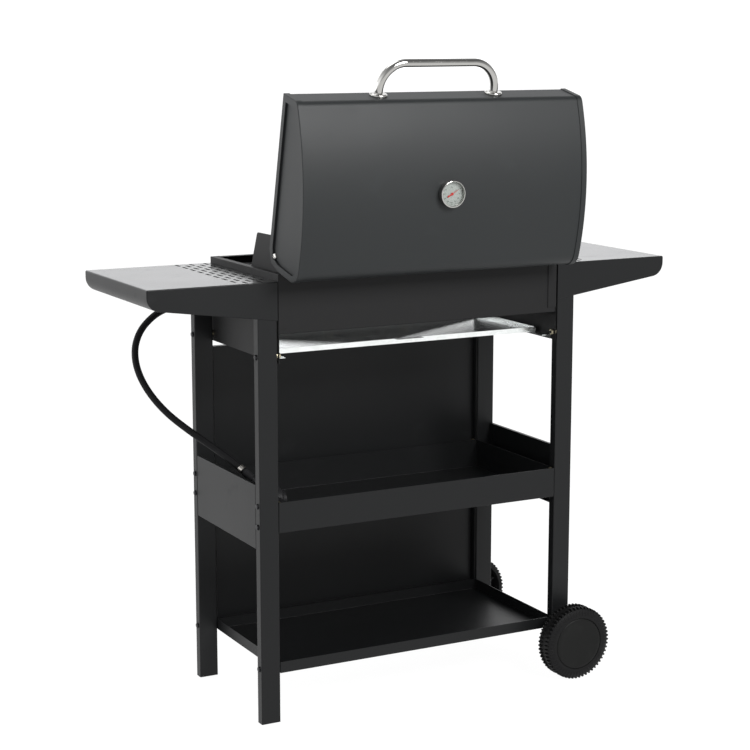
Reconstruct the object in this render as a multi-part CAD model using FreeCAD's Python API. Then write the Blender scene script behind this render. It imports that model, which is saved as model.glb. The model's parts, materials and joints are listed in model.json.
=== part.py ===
import FreeCAD, Part
import math
import os

V = FreeCAD.Vector
os.makedirs("parts", exist_ok=True)

# Gas barbecue grill on a cart, in millimetres.
# +Z is up, the cook stands on the -Y side, the hose leaves at +X and the wheels are at -X.
# The origin is on the floor, in the middle of the four legs. The lid is stored open.

# Cart frame
cart_width = 710.0        # over the outer faces of the legs
cart_depth = 332.0
leg_width = 40.0
leg_depth = 20.0
tube_wall = 1.2
tube_corner = 2.0
leg_split_rise = 30.0     # of the joint between the lower and the upper leg above the middle shelf
spigot_length = 42.0      # of a lower leg inside the upper one
foot_thickness = 2.5
foot_depth = 18.0
axle_cover = 27.0         # of the wheel side's legs below the axle, which end above the floor
sheet = 1.2               # thickness of all folded panels
bend = 2.0                # outer radius of their folds
gap = 0.3                 # between pieces that are bolted side by side

# Fasteners
bolt_radius = 3.0
bolt_hole = 3.15
bolt_head_radius = 5.5
bolt_head_height = 3.2
nut_flats = 10.0
nut_height = 5.0
firebox_bolt_rise = 15.0  # above the lower edge of the firebox ends
joint_bolt_rises = (15.0, 56.0)  # above the middle shelf
bottom_bolt_rise = 12.0   # above the bottom shelf

# Shelves and panels between the legs
bottom_shelf_z = 99.0
bottom_shelf_rim = 23.0
middle_shelf_z = 381.0
middle_shelf_rim = 61.0
shelf_panel_gap = 1.0     # between the shelves and the front panel
side_plate_drop = 31.0    # below the middle shelf
side_plate_rise = 96.0    # above the middle shelf
plate_flange = 8.0
front_panel_bolt_room = 6.5  # from the lower front bolts to the front panel
front_panel_gap = 12.0    # below the firebox ends
front_panel_inset = 2.0   # behind the front of the legs
front_panel_fold = 15.0

# Side shelves
table_height = 870.0
table_reach = 221.0       # beyond the outer face of the legs
table_skirt_inner = 75.0  # depth of the skirt at the firebox
table_slope = 8.0         # degrees, of the skirt's lower edge
table_corner = 28.0
vent_rows = 5
vent_columns = 8
vent_length = 26.0
vent_width = 6.0
vent_row_pitch = 15.5
vent_margin = 8.0         # at both ends of the vent rows

# Firebox
firebox_room = 3.0        # between the firebox ends and the legs
firebox_front_inset = 6.0 # behind the front of the legs
rim_rise = 13.5           # above the side shelves
wall_depth = 113.5        # of the front and rear walls below the rim
end_depth = 171.5         # of the ends below the rim
rim_flange = 13.0
corner_strip = 20.0
corner_strip_depth = 103.5
hinge_plate_rise = 37.0   # above the lid's hinge
hinge_plate_thickness = 2.0
hinge_plate_reach = 130.0 # in front of the lid's hinge
hinge_plate_room = 8.0    # from the firebox rear wall

# Cooking parts
burner_count = 3
burner_pitch = 190.0
burner_depth = 71.5       # below the rim
burner_radius = 13.0
venturi_radius = 8.0
burner_front_room = 40.0  # from the burner tubes to the firebox front wall
burner_rear_room = 30.0
burner_bar_room = 44.0    # from the bar under the burners to the firebox rear wall
port_pitch = 16.0
tamer_end_room = 10.0     # from the flame tamers to the front and rear walls
grate_rail_depth = 25.5   # below the rim
tamer_rail_depth = 54.7   # below the rim
rail_ledge = 30.0
grate_end_room = 23.0     # between the grates and the planes of the front and rear walls
grate_height = 10.0
grate_bar = 6.0
grate_pitch = 14.5

# Grease tray
tray_side_room = 10.0     # from the firebox ends
tray_front_room = 25.0    # from the firebox front wall
tray_rear_room = 61.0     # from the firebox rear wall
tray_rise = 9.0           # of the tray's lip above the lower edge of the firebox ends
tray_lip = 10.0
tray_drop = 17.0

# Lid, shaped here as if it were shut, then turned open about its hinge
lid_side_inset = 2.5      # from the firebox ends
hinge_inset = 24.0        # in front of the firebox rear wall
hinge_rise = 31.5         # above the rim
hinge_radius = 3.5
hinge_hole = 3.56
hinge_head_radius = 5.6
lid_open_angle = 103.1
lid_front_lap = 6.0       # in front of the firebox
lid_rear_inset = 1.5      # in front of the firebox rear wall
lid_mouth_rise = 9.0      # above the rim
lid_height = 131.5        # from its mouth to its crest
lid_top_radius = 543.0
lid_crest_inset = 59.5    # in front of the lid's rear
lid_front_corner = 14.0
lid_rear_corner = 30.0
cap_lap = 12.0
cap_border = 12.0
cap_recess = 3.0

# Handle and thermometer
handle_span = 251.0
handle_height = 62.0
handle_radius = 8.0
handle_bend = 52.0
handle_rise = 26.5        # above the lid's mouth
rosette_radius = 17.0
rosette_height = 5.0
gauge_radius = 26.0
gauge_height = 13.0
gauge_y = 0.0

# Wheels
wheel_radius = 77.0
wheel_inset = 15.0        # of the axle from the outer faces of the legs
wheel_leg_room = 24.0     # between the legs and the wheels
wheel_thickness = 43.0
wheel_teeth = 56
axle_radius = 5.0
axle_clearance = 0.06
wheel_rim = 23.5          # from the hub cap to the tread

# Control panel
panel_top_reach = 60.0    # of the face's top edge in front of the legs
panel_low_reach = 98.0    # of the face's lower edge in front of the legs
panel_top_drop = 8.0      # below the side shelves
panel_height = 94.0
panel_lip = 6.0           # below the face
panel_leg_gap = 2.8       # between the panel and the legs
stem_radius = 4.0
fit = 0.06                # radial clearance of the turning and sliding fits
knob_radius = 20.0
knob_height = 24.0
knob_push = 3.0
igniter_x = 275.0
igniter_radius = 9.0
igniter_travel = 4.0
manifold_radius = 8.0
manifold_reach = 48.0     # in front of the legs
manifold_drop = 92.0      # below the side shelves
nozzle_room = 12.0        # from the nozzles to the firebox front wall

# Gas hose
hose_radius = 7.0
regulator_radius = 32.0
inlet_nut_length = 13.0
hose_route = (
    (374.0, -214.0, 778.0),
    (398.0, -211.0, 773.0),
    (427.0, -204.0, 759.0),
    (454.0, -197.0, 735.0),
    (470.0, -188.0, 701.0),
    (471.0, -172.0, 660.0),
    (457.0, -148.0, 618.0),
    (432.0, -117.0, 579.0),
    (396.0, -90.0, 545.0),
    (358.0, -62.0, 514.0),
    (328.0, -27.0, 487.0),
    (311.0, -3.0, 467.0),
)

half_width = cart_width / 2
half_depth = cart_depth / 2
leg_inner_x = half_width - leg_width
leg_inner_y = half_depth - leg_depth
bolt_y = half_depth - leg_depth / 2
leg_top = table_height - sheet - gap
vent_pitch = (cart_depth - 2 * vent_margin) / vent_columns
firebox_half = leg_inner_x - firebox_room
firebox_front = -half_depth + firebox_front_inset
firebox_rear = half_depth
rim_z = table_height + rim_rise
wall_bottom = rim_z - wall_depth
end_bottom = rim_z - end_depth
corner_strip_bottom = rim_z - corner_strip_depth
burner_z = rim_z - burner_depth
grate_rail_z = rim_z - grate_rail_depth
tamer_rail_z = rim_z - tamer_rail_depth
grate_depth = firebox_rear - firebox_front - 2 * grate_end_room
tray_half = firebox_half - tray_side_room
tray_front = firebox_front + tray_front_room
tray_rear = firebox_rear - tray_rear_room
tray_z = end_bottom + tray_rise
hinge_y = firebox_rear - hinge_inset
hinge_z = rim_z + hinge_rise
hinge_plate_top = hinge_z + hinge_plate_rise
lid_half = firebox_half - lid_side_inset
lid_front = firebox_front - lid_front_lap
lid_rear = firebox_rear - lid_rear_inset
lid_crest_y = lid_rear - lid_crest_inset
lid_mouth = rim_z + lid_mouth_rise
lid_top = lid_mouth + lid_height
handle_z = lid_mouth + handle_rise
wheel_x = -half_width + wheel_inset
wheel_inner = half_depth + wheel_leg_room
wheel_outer = wheel_inner + wheel_thickness
hub_cap_radius = wheel_radius - wheel_rim
short_leg_bottom = wheel_radius - axle_cover
leg_split = middle_shelf_z + leg_split_rise
side_plate_low = middle_shelf_z - side_plate_drop
side_plate_high = middle_shelf_z + side_plate_rise
joint_bolt_z = [middle_shelf_z + rise for rise in joint_bolt_rises]
firebox_bolt_z = end_bottom + firebox_bolt_rise
bottom_bolt_z = bottom_shelf_z + bottom_bolt_rise
front_panel_low = bottom_bolt_z + front_panel_bolt_room
front_panel_high = end_bottom - front_panel_gap
front_panel_y = -half_depth + front_panel_inset
shelf_front_y = front_panel_y + front_panel_fold + shelf_panel_gap
panel_front_top_y = -half_depth - panel_top_reach
panel_front_low_y = -half_depth - panel_low_reach
panel_rear_y = -half_depth - panel_leg_gap
panel_top = table_height - panel_top_drop
panel_low = panel_top - panel_height
panel_face_low = panel_low + panel_lip
manifold_y = -half_depth - manifold_reach
manifold_z = table_height - manifold_drop
nozzle_end = firebox_front - nozzle_room
AXIS_X = V(1, 0, 0)
AXIS_Y = V(0, 1, 0)
AXIS_Z = V(0, 0, 1)
SIDES = (1, -1)


def block(x0, x1, y0, y1, z0, z1):
    return Part.makeBox(x1 - x0, y1 - y0, z1 - z0, V(x0, y0, z0))


def rod(start, direction, radius, length):
    return Part.makeCylinder(radius, length, V(*start), direction)


def ring(start, direction, outer, inner, length):
    return rod(start, direction, outer, length).cut(rod(start, direction, inner, length))


def fuse(*shapes):
    return shapes[0].multiFuse(list(shapes[1:])).removeSplitter()


def cut(shape, *tools):
    return shape.cut(list(tools))


def prism(points, direction):
    return Part.Face(Part.makePolygon(points + [points[0]])).extrude(direction)


def prism_x(points, x0, x1):
    return prism([V(x0, y, z) for y, z in points], V(x1 - x0, 0, 0))


def prism_y(points, y0, y1):
    return prism([V(x, y0, z) for x, z in points], V(0, y1 - y0, 0))


def hexagon(start, direction, flats, height):
    """A nut's blank, standing on the plane through start."""
    corner = flats / math.sqrt(3)
    points = [V(corner * math.cos(a), corner * math.sin(a), 0) for a in (math.radians(60 * i) for i in range(6))]
    blank = prism(points, V(0, 0, height))
    blank.Placement = FreeCAD.Placement(V(*start), FreeCAD.Rotation(AXIS_Z, direction))
    return blank


def edges_along(shape, direction, wanted=lambda middle: True):
    """Straight edges parallel to direction whose middle point is wanted."""
    found = []
    for edge in shape.Edges:
        if isinstance(edge.Curve, Part.Line) and edge.tangentAt(edge.FirstParameter).cross(direction).Length < 1e-6:
            if wanted(edge.CenterOfMass):
                found.append(edge)
    return found


def mirror_x(shape):
    return shape.mirror(V(0, 0, 0), AXIS_X)


def pair(shape):
    """A piece and its mirror image on the other side of the grill."""
    return [shape, mirror_x(shape)]


def save(name, *solids):
    shape = solids[0] if len(solids) == 1 else Part.makeCompound(list(solids))
    shape.exportStep("parts/" + name + ".step")


def tray(x0, x1, y0, y1, z0, z1):
    """A folded pan, open at the top, with rounded bends."""
    outer = block(x0, x1, y0, y1, z0, z1)
    outer = outer.makeFillet(bend, edges_along(outer, AXIS_Z) + bottom_edges(outer, z0))
    inner = block(x0 + sheet, x1 - sheet, y0 + sheet, y1 - sheet, z0 + sheet, z1 + sheet)
    inner = inner.makeFillet(bend - sheet, edges_along(inner, AXIS_Z) + bottom_edges(inner, z0 + sheet))
    return outer.cut(inner)


def bottom_edges(shape, z):
    return [edge for edge in shape.Edges if abs(edge.BoundBox.ZMax - z) < 1e-6]


def rect_tube(x0, x1, y0, y1, z0, z1, wall, corner):
    outer = block(x0, x1, y0, y1, z0, z1)
    outer = outer.makeFillet(corner, edges_along(outer, AXIS_Z))
    inner = block(x0 + wall, x1 - wall, y0 + wall, y1 - wall, z0, z1)
    inner = inner.makeFillet(corner - wall, edges_along(inner, AXIS_Z))
    return outer.cut(inner)


def cross_holes(x0, x1, y_list, z_list, radius=bolt_hole):
    """Holes that run along X at every place of a grid."""
    return [rod((x0, y, z), AXIS_X, radius, x1 - x0) for y in y_list for z in z_list]


def bolt_lines():
    """Each leg bolt on the +X side: its Y, its Z and where the sheets under its nut end."""
    one_sheet = leg_inner_x - gap - sheet
    two_sheets = one_sheet - gap - sheet
    lines = []
    for side in SIDES:
        lines.append((side * bolt_y, firebox_bolt_z, firebox_half - sheet))
        lines.append((side * bolt_y, bottom_bolt_z, one_sheet))
        for z in joint_bolt_z:
            lines.append((side * bolt_y, z, one_sheet if side > 0 else two_sheets))
    return lines


def make_legs():
    for name, z0, z1 in (("upper_legs", leg_split, leg_top), ("lower_legs", foot_thickness, leg_split)):
        legs = []
        for x_side in SIDES:
            low = short_leg_bottom + foot_thickness if name == "lower_legs" and x_side < 0 else z0
            for y_side in SIDES:
                y0 = leg_inner_y if y_side > 0 else -half_depth
                leg = rect_tube(leg_inner_x, half_width, y0, y0 + leg_depth, low, z1, tube_wall, tube_corner)
                if name == "lower_legs":
                    leg = fuse(leg, leg_spigot(y0))
                holes = cross_holes(leg_inner_x, half_width, [y_side * bolt_y],
                                    [bottom_bolt_z, firebox_bolt_z] + list(joint_bolt_z))
                leg = cut(leg, *holes)
                if x_side < 0:
                    leg = mirror_x(leg)
                    leg = leg.cut(rod((wheel_x, -half_depth, wheel_radius), AXIS_Y, axle_radius + fit, cart_depth))
                legs.append(leg)
        save(name, *legs)


def leg_spigot(y0):
    """The narrowed top of a lower leg, which slides up into the upper one."""
    parts = []
    for inset, low, high in ((tube_wall / 2, leg_split - spigot_length, leg_split),
                             (tube_wall + gap / 2, leg_split - spigot_length / 2, leg_split + spigot_length)):
        parts.append(rect_tube(leg_inner_x + inset, half_width - inset, y0 + inset, y0 + leg_depth - inset,
                               low, high, tube_wall, tube_corner))
    return fuse(*parts)


def make_feet():
    """Plastic plugs in the open ends of the legs."""
    inset = tube_wall + gap / 2
    plugs = []
    for x_side in SIDES:
        z0 = 0.0 if x_side > 0 else short_leg_bottom
        for y0 in (leg_inner_y, -half_depth):
            sole = block(leg_inner_x, half_width, y0, y0 + leg_depth, z0, z0 + foot_thickness)
            sole = sole.makeFillet(tube_corner, edges_along(sole, AXIS_Z))
            stem = block(leg_inner_x + inset, half_width - inset, y0 + inset, y0 + leg_depth - inset,
                         z0, z0 + foot_thickness + foot_depth)
            stem = stem.makeFillet(tube_corner, edges_along(stem, AXIS_Z))
            plug = fuse(sole, stem)
            if x_side < 0:
                plug = mirror_x(plug)
                plug = plug.cut(rod((wheel_x, -half_depth, wheel_radius), AXIS_Y, axle_radius + gap, cart_depth))
            plugs.append(plug)
    save("foot_plugs", *plugs)


def make_frame_fasteners():
    bolts = []
    nuts = []
    for y, z, inner in bolt_lines():
        head = rod((half_width + 0.1, y, z), AXIS_X, bolt_head_radius, bolt_head_height)
        rim = [e for e in head.Edges if abs(e.CenterOfMass.x - half_width - 0.1 - bolt_head_height) < 1e-6]
        head = head.makeFillet(bolt_head_height * 0.7, rim)
        shank_start = inner - nut_height - 2
        shank = rod((shank_start, y, z), AXIS_X, bolt_radius, half_width + 1 - shank_start)
        bolts += pair(fuse(head, shank))
        nut = hexagon((inner - 0.1, y, z), V(-1, 0, 0), nut_flats, nut_height)
        nut = nut.cut(rod((inner - nut_height - 1, y, z), AXIS_X, bolt_radius + fit, nut_height + 2))
        nuts += pair(nut)
    save("frame_bolts", *bolts)
    save("frame_nuts", *nuts)
    spacers = []
    for side in SIDES:
        spacer = ring((firebox_half + 0.1, side * bolt_y, firebox_bolt_z), AXIS_X, 7.0, bolt_hole,
                      leg_inner_x - firebox_half - 0.2)
        spacers += pair(spacer)
    washer = ring((wheel_x, half_depth + 0.2, wheel_radius), AXIS_Y, 9, axle_radius + fit, 1.4)
    save("spacer_washers", *spacers, washer, washer.mirror(V(0, 0, 0), AXIS_Y))


def make_between_leg_tray(name, z0, rim, bolt_heights):
    """A shelf tray that fits between the legs, with side tabs that reach the front bolts."""
    outer_x = leg_inner_x - gap
    body = tray(-outer_x, outer_x, shelf_front_y, half_depth, z0, z0 + rim)
    tab = block(outer_x - sheet, outer_x, -half_depth + 2, shelf_front_y + bend, z0 + bend, z0 + rim)
    body = fuse(body, *pair(tab))
    body = cut(body, *cross_holes(-outer_x, outer_x, (bolt_y, -bolt_y), bolt_heights))
    save(name, body)


def make_side_plates():
    """Panels flush with the outer faces of the legs, with flanges turned in on all four sides."""
    y1 = leg_inner_y - gap
    x0 = half_width - plate_flange
    outer = block(x0, half_width - gap, -y1, y1, side_plate_low, side_plate_high)
    face = [e for e in outer.Edges if abs(e.BoundBox.XMin - half_width + gap) < 1e-6]
    outer = outer.makeFillet(bend, face)
    inner = block(x0 - 1, half_width - gap - sheet, -y1 + sheet, y1 - sheet,
                  side_plate_low + sheet, side_plate_high - sheet)
    plate = outer.cut(inner)
    save("side_plates", *pair(plate))


def make_front_panel():
    """The tall panel behind the front legs' outer faces, folded back on all sides."""
    outer_x = leg_inner_x - 2 * gap - sheet
    y0 = front_panel_y
    outer = block(-outer_x, outer_x, y0, y0 + front_panel_fold, front_panel_low, front_panel_high)
    face = [e for e in outer.Edges if abs(e.BoundBox.YMax - y0) < 1e-6]
    outer = outer.makeFillet(bend, face)
    inner = block(-outer_x + sheet, outer_x - sheet, y0 + sheet, y0 + front_panel_fold + 1,
                  front_panel_low + sheet, front_panel_high - sheet)
    panel = outer.cut(inner)
    panel = cut(panel, *cross_holes(-outer_x, outer_x, [-bolt_y], joint_bolt_z))
    save("front_panel", panel)


def table_profile(inset, inner_x):
    """The side view of a shelf: flat top, plain end with a large corner, skirt that tapers outwards."""
    outer_x = half_width + table_reach - inset
    top = table_height - inset
    rise = math.tan(math.radians(table_slope))
    start_x = firebox_half + 2
    low = table_height - table_skirt_inner
    z_at = lambda x: low + (x - start_x) * rise + inset / math.cos(math.radians(table_slope))
    return [(inner_x, top), (outer_x, top), (outer_x, z_at(outer_x)), (inner_x, z_at(inner_x))]


def table_block(inset, inner_x, y_half):
    outer_x = half_width + table_reach - inset
    shape = prism_y(table_profile(inset, inner_x), -y_half, y_half)
    corner = edges_along(shape, AXIS_Y, lambda m: m.x > outer_x - 0.1 and m.z < table_height - 20)
    shape = shape.makeFillet(table_corner - inset, corner)
    top_edge = edges_along(shape, AXIS_Y, lambda m: m.x > outer_x - 0.1 and m.z > table_height - 5)
    shape = shape.makeFillet(bend + 1 - inset, top_edge)
    if inset == 0:
        along = edges_along(shape, AXIS_X, lambda m: m.z > table_height - 1)
        shape = shape.makeFillet(bend, along)
    return shape


def make_side_tables():
    """Folded side shelves: an upside-down tray with vent slots beside the firebox."""
    inner_x = firebox_half + 2
    y_half = half_depth + gap + sheet
    outer = table_block(0.0, inner_x, y_half)
    inner = table_block(sheet, inner_x - 5, y_half - sheet)
    under = block(inner_x - 5, half_width + table_reach - table_corner, -y_half + sheet, y_half - sheet,
                  table_height - 200, table_height - bend - sheet)
    table = cut(outer, inner, under)
    slots = []
    for row in range(vent_rows):
        x = inner_x + 12 + row * vent_row_pitch
        shift = vent_pitch / 4 if row % 2 else -vent_pitch / 4
        for column in range(vent_columns):
            y = (column - (vent_columns - 1) / 2) * vent_pitch + shift
            slots.append(vent_slot(x, y))
    table = cut(table, *slots)
    save("side_table_right", table)
    save("side_table_left", mirror_x(table))


def vent_slot(x, y):
    radius = vent_width / 2
    half = vent_length / 2 - radius
    z0 = table_height - 2 * sheet
    z1 = table_height + sheet
    return fuse(block(x - radius, x + radius, y - half, y + half, z0, z1),
                rod((x, y - half, z0), AXIS_Z, radius, z1 - z0),
                rod((x, y + half, z0), AXIS_Z, radius, z1 - z0))


def make_firebox():
    wall_x = firebox_half - sheet
    side = fuse(
        block(wall_x, firebox_half, firebox_front, firebox_rear, end_bottom, rim_z),
        block(wall_x, firebox_half, -half_depth + 1, firebox_rear, end_bottom, wall_bottom),
        block(firebox_half - rim_flange, firebox_half, firebox_front, firebox_rear, rim_z - sheet, rim_z),
        block(firebox_half - corner_strip, firebox_half, firebox_rear - sheet, firebox_rear,
              corner_strip_bottom, rim_z),
        block(firebox_half - corner_strip, firebox_half, firebox_front, firebox_front + sheet,
              corner_strip_bottom, rim_z),
    )
    side = side.makeFillet(0.9, edges_along(side, AXIS_Z, lambda m: m.x > firebox_half - 0.01 and m.z > wall_bottom)
                           + edges_along(side, AXIS_Y, lambda m: m.x > firebox_half - 0.01 and m.z > rim_z - 0.01))
    side = cut(side, *cross_holes(wall_x - 1, firebox_half + 1, (bolt_y, -bolt_y), [firebox_bolt_z]))
    save("firebox_end_right", side)
    save("firebox_end_left", mirror_x(side))

    inner_x = wall_x - gap
    lip_x = firebox_half - rim_flange - gap
    flange_x = lip_x - hinge_plate_thickness - gap
    rear_y = firebox_rear - sheet - gap
    front_y = firebox_front + sheet + gap
    for name, y, inward in (("firebox_rear_wall", rear_y, -1), ("firebox_front_wall", front_y, 1)):
        y_in = y + inward * sheet
        wall = fuse(
            block(-inner_x, inner_x, min(y, y_in), max(y, y_in), wall_bottom, rim_z - sheet - gap),
            block(-lip_x, lip_x, min(y, y_in), max(y, y_in), wall_bottom, rim_z),
            block(-flange_x, flange_x, *sorted((y, y + inward * rim_flange)), rim_z - sheet, rim_z),
            block(-inner_x, inner_x, *sorted((y, y + inward * 42)), wall_bottom, wall_bottom + sheet),
            block(-inner_x, inner_x, *sorted((y + inward * 42, y + inward * (42 - sheet))), wall_bottom - 8,
                  wall_bottom + sheet),
        )
        if inward > 0:
            ports = [rod((x, y - 1, burner_z), AXIS_Y, venturi_radius + gap, 4) for x in burner_places()]
            ports += [rod((x + 24, y - 1, burner_z - 6), AXIS_Y, 3.5 + gap, 4) for x in burner_places()]
            wall = cut(wall, *ports)
        save(name, wall)


def burner_places():
    return [(i - (burner_count - 1) / 2) * burner_pitch for i in range(burner_count)]


def make_hinge_plates():
    """Upright plates welded inside the firebox ends, which carry the lid's two pivot bolts."""
    face_x = firebox_half - rim_flange - gap
    wall_x = firebox_half - sheet - 0.1
    thick = hinge_plate_thickness
    under_rim = rim_z - sheet - gap
    front = hinge_y - hinge_plate_reach
    rear = firebox_rear - hinge_plate_room
    notch = hinge_y + 3
    upright = prism_x([(front, under_rim - thick), (rear, under_rim - thick), (rear, rim_z + 1), (notch, rim_z + 1),
                       (notch, hinge_z - 21), (rear - 1, hinge_z - 16), (rear, hinge_z - 10),
                       (rear - 8, hinge_plate_top), (front + 31, hinge_plate_top - 1)], face_x - thick, face_x)
    shelf = block(face_x - thick, wall_x, front, rear, under_rim - 2 * thick, under_rim - thick)
    foot = block(wall_x - thick, wall_x, front, rear, under_rim - 34, under_rim - thick)
    plate = fuse(upright, shelf, foot)
    plate = plate.makeFillet(6, edges_along(plate, AXIS_X, lambda m: m.z > rim_z + 30))
    save("hinge_plates", *pair(plate.cut(rod((face_x - 10, hinge_y, hinge_z), AXIS_X, hinge_hole, 20))))


def make_cooking_parts():
    inner_x = firebox_half - sheet - gap - hinge_plate_thickness
    rear = firebox_rear - 2 * sheet - 2 * gap
    front = firebox_front + 2 * sheet + 2 * gap
    rails = []
    for z, web in ((grate_rail_z, 10.0), (tamer_rail_z, tamer_rail_z - burner_z - venturi_radius - gap)):
        for y, inward in ((rear, -1), (front, 1)):
            rails.append(fuse(
                block(-inner_x, inner_x, *sorted((y, y + inward * rail_ledge)), z, z + sheet),
                block(-inner_x, inner_x, *sorted((y, y + inward * sheet)), z - web, z + sheet)))
    bar_y = firebox_rear - burner_bar_room
    bar_top = burner_z - burner_radius - 0.1
    crossbar = fuse(block(-inner_x, inner_x, bar_y, bar_y + 14, bar_top - sheet, bar_top),
                    block(-inner_x, inner_x, bar_y, bar_y + sheet, bar_top - 14, bar_top))
    save("firebox_rails", *rails, crossbar)

    burners = []
    tamers = []
    electrodes = []
    front_end = nozzle_end - 6
    body_y = firebox_front + burner_front_room
    length = firebox_rear - burner_rear_room - body_y
    port_count = int((length - 48) / port_pitch) + 1
    for x in burner_places():
        burner = fuse(rod((x, body_y, burner_z), AXIS_Y, burner_radius, length),
                      rod((x, front_end, burner_z), AXIS_Y, venturi_radius, body_y - front_end + 1))
        ports = [rod((x - 20, body_y + 20 + port_pitch * i, burner_z + 4), AXIS_X, 1.6, 40)
                 for i in range(port_count)]
        burners.append(cut(burner,
                           rod((x, body_y + 2, burner_z), AXIS_Y, burner_radius - sheet, length - 4),
                           rod((x, front_end - 1, burner_z), AXIS_Y, venturi_radius - sheet, body_y + 10 - front_end),
                           *ports))
        base = tamer_rail_z + sheet + 0.1
        tamers.append(prism_y([(x - 45, base), (x, base + 20), (x + 45, base), (x + 42.5, base), (x, base + 18.7),
                               (x - 42.5, base)], firebox_front + tamer_end_room, firebox_rear - tamer_end_room - 1))
        electrodes.append(fuse(rod((x + 24, firebox_front - 8, burner_z - 6), AXIS_Y, 3.5, 56),
                               rod((x + 24, firebox_front - 14, burner_z - 6), AXIS_Y, 1.0, 70)))
    save("burners", *burners)
    save("flame_tamers", *tamers)
    save("igniter_electrodes", *electrodes)

    x1 = firebox_half - rim_flange - 4
    z0 = grate_rail_z + sheet + 0.1
    half = grate_depth / 2
    grate = block(1.0, x1, -half, half, z0, z0 + grate_height)
    count = int((x1 - 1 - grate_bar) / grate_pitch)
    pitch = (x1 - 1 - grate_bar) / count
    gaps = []
    for i in range(count):
        x = 1 + grate_bar + i * pitch
        for y0, y1 in ((-half + 8, -4), (4, half - 8)):
            gaps.append(block(x, x + pitch - grate_bar, y0, y1, z0 - 1, z0 + grate_height + 1))
    grate = cut(grate, *gaps)
    save("cooking_grate_right", grate)
    save("cooking_grate_left", mirror_x(grate))


def make_grease_tray():
    """A shallow pan whose floor falls to the middle, on two ledges under the firebox."""
    half = tray_half
    top = tray_z + tray_lip
    margin = 14.0

    def slab(inset, z0, z1):
        return block(-half + inset, half - inset, tray_front + inset, tray_rear - inset, z0, z1)

    def funnel(shift):
        x1 = half - margin
        y0 = tray_front + margin
        y1 = tray_rear - margin
        upper = Part.makePolygon([V(-x1, y0, tray_z + shift), V(x1, y0, tray_z + shift), V(x1, y1, tray_z + shift),
                                  V(-x1, y1, tray_z + shift), V(-x1, y0, tray_z + shift)])
        low = tray_z - tray_drop + shift
        middle = (tray_front + tray_rear) / 2
        lower = Part.makePolygon([V(-60, middle - 25, low), V(60, middle - 25, low), V(60, middle + 25, low),
                                  V(-60, middle + 25, low), V(-60, middle - 25, low)])
        return Part.makeLoft([upper, lower], True, True)

    pan = fuse(slab(0, tray_z, top), funnel(0))
    pan = cut(pan, slab(sheet, tray_z + sheet, top + 1), funnel(sheet))
    pan = fuse(pan, block(-30, 30, tray_rear - 0.5, tray_rear + 14, top - sheet, top))
    save("grease_tray", pan)
    ledge_x = firebox_half - sheet - 0.1
    ledge_z = tray_z - 0.3
    rail = fuse(block(half - margin + 2, ledge_x, -bolt_y + 8, bolt_y - 8, ledge_z - sheet, ledge_z),
                block(ledge_x - sheet, ledge_x, -bolt_y + 8, bolt_y - 8, end_bottom, ledge_z))
    save("tray_rails", *pair(rail))


def lid_block(out, x0, x1, mouth):
    """The lid's full section grown outwards by out, closed at the mouth, as a solid from x0 to x1."""
    radius = lid_top_radius + out
    centre_z = lid_top - lid_top_radius
    front = lid_front - out
    rear = lid_rear + out
    height = lambda y: centre_z + math.sqrt(radius ** 2 - (y - lid_crest_y) ** 2)
    front_top = V(x0, front, height(front))
    rear_top = V(x0, rear, height(rear))
    crest = V(x0, (front + rear) / 2, height((front + rear) / 2))
    low = [V(x0, rear, 936), V(x0, lid_rear - 7.5 + 0.9 * out, 906 - 0.45 * out),
           V(x0, lid_rear - 31.5 + 0.5 * out, mouth), V(x0, front, mouth)]
    edges = [Part.Arc(front_top, crest, rear_top).toShape(),
             Part.LineSegment(rear_top, low[0]).toShape(),
             Part.LineSegment(low[0], low[1]).toShape(),
             Part.LineSegment(low[1], low[2]).toShape(),
             Part.LineSegment(low[2], low[3]).toShape(),
             Part.LineSegment(low[3], front_top).toShape()]
    shape = Part.Face(Part.Wire(edges)).extrude(V(x1 - x0, 0, 0))
    front_edge = edges_along(shape, AXIS_X, lambda m: m.y < front + 0.1 and m.z > mouth + 10)
    shape = shape.makeFillet(lid_front_corner + out, front_edge)
    rear_edge = edges_along(shape, AXIS_X, lambda m: m.y > rear - 0.1 and m.z > 1000)
    shape = shape.makeFillet(lid_rear_corner + out, rear_edge)
    low_edges = edges_along(shape, AXIS_X, lambda m: m.y > 100 and m.z < 940)
    return shape.makeFillet(4, low_edges)


def open_lid(shape):
    """Turns a piece of the shut lid to the stored, open position."""
    turned = shape.copy()
    turned.rotate(V(0, hinge_y, hinge_z), AXIS_X, -lid_open_angle)
    return turned


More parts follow.
